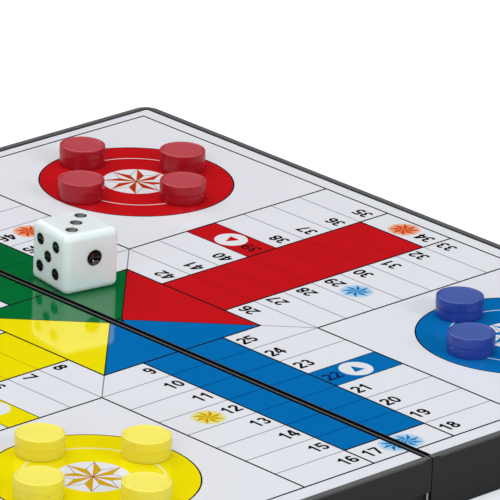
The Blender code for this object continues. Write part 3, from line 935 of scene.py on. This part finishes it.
def gate_nub(centre, degrees):
    """The stub where the sprue was cut off: a small dome on the lower side, with its axis turned to
    point outward."""
    profile = np.array([(0.0, 0.10), (0.09, 0.09), (0.16, 0.05), (0.19, -0.08), (0.0, -0.08)]) * MM
    points, faces = lathe(profile, (0.0, 0.0), 0.0, steps=16)
    angle = math.radians(degrees)
    outward = np.array((math.cos(angle), math.sin(angle), 0.0))
    along = np.array((-math.sin(angle), math.cos(angle), 0.0))
    middle = np.array((*centre, STAND + GATE_HEIGHT)) + outward * GATE_REACH
    axes = np.array([along, (0.0, 0.0, 1.0), outward])
    return middle + points @ axes, faces


def make_token(colour, number, gate_angle):
    """One token's moulding over its solid, with the whitened stub as a second finish."""
    node_name = f"{colour}_token_{number}_cap"
    low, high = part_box(node_name)
    centre = ((low[0] + high[0]) / 2, (low[1] + high[1]) / 2)
    turning = lathe(token_profile(), centre, STAND)
    shape = join_shapes([turning, gate_nub(centre, gate_angle)])
    body = f"{colour}_token_{number}"
    mesh = build_mesh(f"{body}_moulding", *shape)
    mesh.shade_smooth()
    piece = add_piece(mesh.name, mesh, TOKEN_PLASTIC[colour], body)
    mesh.materials.append(WHITENED_PLASTIC)
    nub_faces = np.arange(len(mesh.polygons)) >= len(turning[1])
    mesh.polygons.foreach_set("material_index", nub_faces.astype(np.int32))
    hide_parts(node_name)


# Which way each token's gate mark points, in degrees
GATE_ANGLES = {
    "red": (150, 205, 80, 16),
    "blue": (-110, -98, 160, 60),
    "yellow": (35, 120, 250, -20),
    "green": (200, -75, 15, 100),
}
for colour, angles in GATE_ANGLES.items():
    for number, gate_angle in enumerate(angles, 1):
        make_token(colour, number, gate_angle)


# Die

# Half an edge, its rounding, how much wider than high it is drawn, the pitch of the pips, and the
# radius and depth of a pip and of the ace
DIE_HALF = 8.11 * MM
DIE_ROUND = 1.85 * MM
DIE_STRETCH = (1.02, 1.02, 1.0)
PIP_PITCH = 3.72 * MM
PIP = (1.53 * MM, 0.7 * MM)
ACE = (2.12 * MM, 1.1 * MM)
DIE_TURN = math.radians(-9.4)
DIE_SHIFT = (0.62 * MM, -0.45 * MM)
# Where the pips sit on each face, in pitches. Two faces have theirs a little off.
DIE_SPOTS = {
    1: ((-0.3, 0.13),),
    2: ((-1, -1), (1, 1)),
    3: ((-1, 1), (0, 0), (1, -1)),
    4: ((-1, -1), (-1, 1), (1, -1), (1, 1)),
    5: ((-1.03, -0.94), (-1.03, 1.05), (0.89, -0.94), (0.89, 1.05), (-0.07, 0.05)),
    6: ((-1, -1), (0, -1), (1, -1), (-1, 1), (0, 1), (1, 1)),
}
QUARTER = math.pi / 2
DIE_FACES = {
    1: Matrix.Rotation(QUARTER, 3, "Y"),
    2: Matrix.Rotation(-QUARTER, 3, "X"),
    3: Matrix.Identity(3),
    4: Matrix.Rotation(math.pi, 3, "X"),
    5: Matrix.Rotation(QUARTER, 3, "X"),
    6: Matrix.Rotation(-QUARTER, 3, "Y"),
}
DIE_LOW, DIE_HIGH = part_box("die")
DIE_CENTRE = np.array((
    (DIE_LOW[0] + DIE_HIGH[0]) / 2 + DIE_SHIFT[0],
    (DIE_LOW[1] + DIE_HIGH[1]) / 2 + DIE_SHIFT[1],
    STAND + DIE_HALF,
))
DIE_MATRIX = np.array(Matrix.Rotation(DIE_TURN, 3, "Z"))


def pip_depth(distance, radius, depth):
    """How deep a bowl is at a distance from its middle: the cap of a ball, and 0 past its rim."""
    ball = (radius ** 2 + depth ** 2) / (2 * depth)
    drop = np.sqrt(np.maximum(ball ** 2 - np.minimum(distance, radius) ** 2, 0.0))
    return np.maximum(drop - (ball - depth), 0.0)


# Points along a side of a die's face, and how its grid closes toward the edges: so much of each
# place along it follows a sine of so many radians
DIE_STEPS = 112
SINE_SHARE = 0.25
SINE_REACH = 1.2


def die_face(face):
    """One face of the die: a square grid, a little closer toward its edges, whose outer band is
    wrapped round the edges and corners as a ball of the edge radius rolls. It is then pushed in by
    each bowl's depth."""
    line = np.linspace(-1, 1, DIE_STEPS)
    bent = np.sin(line * SINE_REACH) / math.sin(SINE_REACH)
    line = bent * SINE_SHARE + line * (1 - SINE_SHARE)
    u, v = np.meshgrid(line * DIE_HALF, line * DIE_HALF, indexing="ij")
    cube = np.stack([u, v, np.full_like(u, DIE_HALF)], axis=2)
    core = np.clip(cube, -(DIE_HALF - DIE_ROUND), DIE_HALF - DIE_ROUND)
    out = cube - core
    points = core + out / np.linalg.norm(out, axis=2, keepdims=True) * DIE_ROUND
    radius, depth = ACE if face == 1 else PIP
    for across, along in DIE_SPOTS[face]:
        from_spot = points[:, :, :2] - np.array((across, along)) * PIP_PITCH
        distance = np.hypot(from_spot[:, :, 0], from_spot[:, :, 1])
        points[:, :, 2] -= pip_depth(distance, radius, depth)
    index = np.arange(DIE_STEPS ** 2).reshape(DIE_STEPS, DIE_STEPS)
    corners = [index[:-1, :-1], index[1:, :-1], index[1:, 1:], index[:-1, 1:]]
    quads = np.stack(corners, axis=2).reshape(-1, 4)
    return points.reshape(-1, 3) @ np.array(DIE_FACES[face]).T, quads.tolist()


PIP_RINGS = 8
PIP_STEPS = 40
PAINT_STAND = 0.02 * MM
PAINT_THICKNESS = 0.06 * MM
PAINT_LAP = 1.01


def pip_bowl(face, spot):
    """The paint in one pip: a shallow bowl a hair above the die's own, closed by a lid behind."""
    radius, depth = ACE if face == 1 else PIP
    steps = PIP_STEPS
    angle = np.arange(steps) * 2 * math.pi / steps
    distance = np.linspace(0, 1, PIP_RINGS + 1)[1:] * radius * PAINT_LAP
    x = distance[:, None] * np.cos(angle)
    y = distance[:, None] * np.sin(angle)
    top = DIE_HALF + PAINT_STAND - pip_depth(distance, radius, depth)
    z = np.broadcast_to(top[:, None], x.shape)
    upper = np.stack([x, y, z], axis=2).reshape(-1, 3)
    lower = upper - (0, 0, PAINT_THICKNESS)
    bottom = DIE_HALF + PAINT_STAND - depth
    middle = np.array([(0, 0, bottom), (0, 0, bottom - PAINT_THICKNESS)])
    points = np.concatenate([upper, lower, middle])
    points[:, 0] += spot[0] * PIP_PITCH
    points[:, 1] += spot[1] * PIP_PITCH
    here = np.arange(steps)
    there = (here + 1) % steps
    quads = band_faces(PIP_RINGS, steps)
    count = len(upper)
    rim = (PIP_RINGS - 1) * steps
    walls = np.stack([rim + here, count + rim + here, count + rim + there, rim + there], axis=1)
    faces = quads.tolist() + (quads[:, ::-1] + count).tolist() + walls.tolist()
    faces += np.stack([np.full(steps, 2 * count), here, there], axis=1).tolist()
    faces += np.stack([np.full(steps, 2 * count + 1), count + there, count + here], axis=1).tolist()
    return points @ np.array(DIE_FACES[face]).T, faces


def die_mesh(name, shapes):
    """Shapes about the die's own middle as one mesh, stretched, turned and put in place."""
    points, faces = join_shapes(shapes)
    return build_mesh(name, points * DIE_STRETCH @ DIE_MATRIX.T + DIE_CENTRE, faces)


def make_die():
    """The die: its six faces welded into one body, and the paint in its pips."""
    mesh = die_mesh("die_body", [die_face(face) for face in DIE_SPOTS])
    bm = bmesh.new()
    bm.from_mesh(mesh)
    bmesh.ops.remove_doubles(bm, verts=bm.verts, dist=0.001 * MM)
    bm.to_mesh(mesh)
    bm.free()
    mesh.shade_smooth()
    body = add_piece("die_body", mesh, DIE_ACRYLIC, "die")
    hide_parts("die")
    bowls = [pip_bowl(face, spot) for face, spots in DIE_SPOTS.items() for spot in spots]
    mesh = die_mesh("die_pips", bowls)
    mesh.shade_smooth()
    add_piece("die_pips", mesh, PIP_ENAMEL, "die")


make_die()


# Floor, light and camera

def seen_directly(tree):
    """1 for what the camera sees, straight, in gloss or through glass, and 0 for other light."""
    path = add_node(tree, "ShaderNodeLightPath")
    first = add_node(
        tree, "ShaderNodeMath",
        {0: path.outputs["Is Camera Ray"], 1: path.outputs["Is Glossy Ray"]}, operation="MAXIMUM",
    )
    both = add_node(
        tree, "ShaderNodeMath",
        {0: first.outputs[0], 1: path.outputs["Is Transmission Ray"]}, operation="MAXIMUM",
    )
    return both.outputs[0]


def make_floor():
    """A white floor, lifted to plain white where the camera sees it, so that it keeps the board's
    soft shadow."""
    reach = 6.0
    points = [(-reach, -reach, 0), (reach, -reach, 0), (reach, reach, 0), (-reach, reach, 0)]
    mesh = build_mesh("floor", points, [(0, 1, 2, 3)])
    floor = bpy.data.objects.new("floor", mesh)
    bpy.context.scene.collection.objects.link(floor)
    material, tree, shader = new_material("white_paper_floor")
    shader.inputs["Base Color"].default_value = linear("f2f2f2")
    shader.inputs["Roughness"].default_value = 0.9
    shader.inputs["Specular IOR Level"].default_value = 0.0
    shader.inputs["Emission Color"].default_value = (1, 1, 1, 1)
    lift = add_node(tree, "ShaderNodeMath", {0: seen_directly(tree), 1: 0.25}, operation="MULTIPLY")
    tree.links.new(lift.outputs[0], shader.inputs["Emission Strength"])
    mesh.materials.append(material)


def make_world():
    """Even light from all round, and plain white where the camera sees past the floor."""
    world = bpy.data.worlds.new("studio")
    bpy.context.scene.world = world
    world.use_nodes = True
    tree = world.node_tree
    background = tree.nodes["Background"]
    background.inputs["Color"].default_value = (1, 1, 1, 1)
    strength = add_node(
        tree, "ShaderNodeMapRange",
        {"Value": seen_directly(tree), "To Min": 0.42, "To Max": 1.0},
    )
    tree.links.new(strength.outputs["Result"], background.inputs["Strength"])


def make_skirt():
    """A dark cloth ring round the table, for reflections alone: the print picks up the die against
    it."""
    steps = 48
    angle = np.arange(steps) * 2 * math.pi / steps
    ring = np.stack([np.cos(angle), np.sin(angle)], axis=1)
    hems = ((1.5, 0.02), (2.2, 1.35))
    points = np.concatenate([
        np.column_stack([ring * radius, np.full(steps, height)]) for radius, height in hems
    ])
    here = np.arange(steps)
    there = (here + 1) % steps
    faces = np.stack([here, there, steps + there, steps + here], axis=1)
    mesh = build_mesh("dark_skirt", points, faces.tolist())
    skirt = bpy.data.objects.new("dark_skirt", mesh)
    bpy.context.scene.collection.objects.link(skirt)
    material, _, shader = new_material("black_felt")
    shader.inputs["Base Color"].default_value = linear("18181a")
    shader.inputs["Roughness"].default_value = 1.0
    shader.inputs["Specular IOR Level"].default_value = 0.0
    mesh.materials.append(material)
    skirt.visible_camera = False
    skirt.visible_diffuse = False
    skirt.visible_shadow = False
    skirt.visible_transmission = False


def add_softbox(name, place, width, height, power, colour):
    """A rectangular lamp, its sides in metres and its power in watts, turned to face the board."""
    light = bpy.data.lights.new(name, "AREA")
    light.color = colour
    light.shape = "RECTANGLE"
    light.size = width
    light.size_y = height
    light.energy = power
    lamp = bpy.data.objects.new(name, light)
    bpy.context.scene.collection.objects.link(lamp)
    turn = (-Vector(place)).to_track_quat("-Z", "Y").to_matrix().to_4x4()
    lamp.matrix_world = Matrix.Translation(place) @ turn


def make_camera():
    """A long lens from the right front corner, tipped a little, as the photograph was taken."""
    place = Vector((1.16408, -1.09923, 0.65440))
    target = Vector((-0.01603, 0.06248, 0.0146))
    tip = math.radians(2.25)
    forward = (target - place).normalized()
    right = forward.cross(Vector((0, 0, 1))).normalized()
    up = right.cross(forward)
    across = right * math.cos(tip) + up * math.sin(tip)
    upward = up * math.cos(tip) - right * math.sin(tip)
    data = bpy.data.cameras.new("camera")
    data.lens = 487.94
    data.sensor_width = 36.0
    data.clip_start = 0.05
    data.clip_end = 30.0
    camera = bpy.data.objects.new("camera", data)
    bpy.context.scene.collection.objects.link(camera)
    turn = Matrix((across, upward, -forward)).transposed().to_4x4()
    camera.matrix_world = Matrix.Translation(place) @ turn
    bpy.context.scene.camera = camera


make_floor()
make_world()
make_skirt()
add_softbox("overhead_softbox", (-0.65, 0.05, 1.55), 2.1, 2.1, 18.0, (1.0, 1.0, 1.0))
add_softbox("front_softbox", (1.40, -2.45, 1.30), 2.1, 2.1, 33.0, (0.76, 0.90, 1.0))
add_softbox("side_strip", (1.44, 0.43, 0.81), 0.30, 0.55, 6.5, (0.84, 0.93, 1.0))
make_camera()
bpy.context.scene.view_settings.view_transform = "Standard"
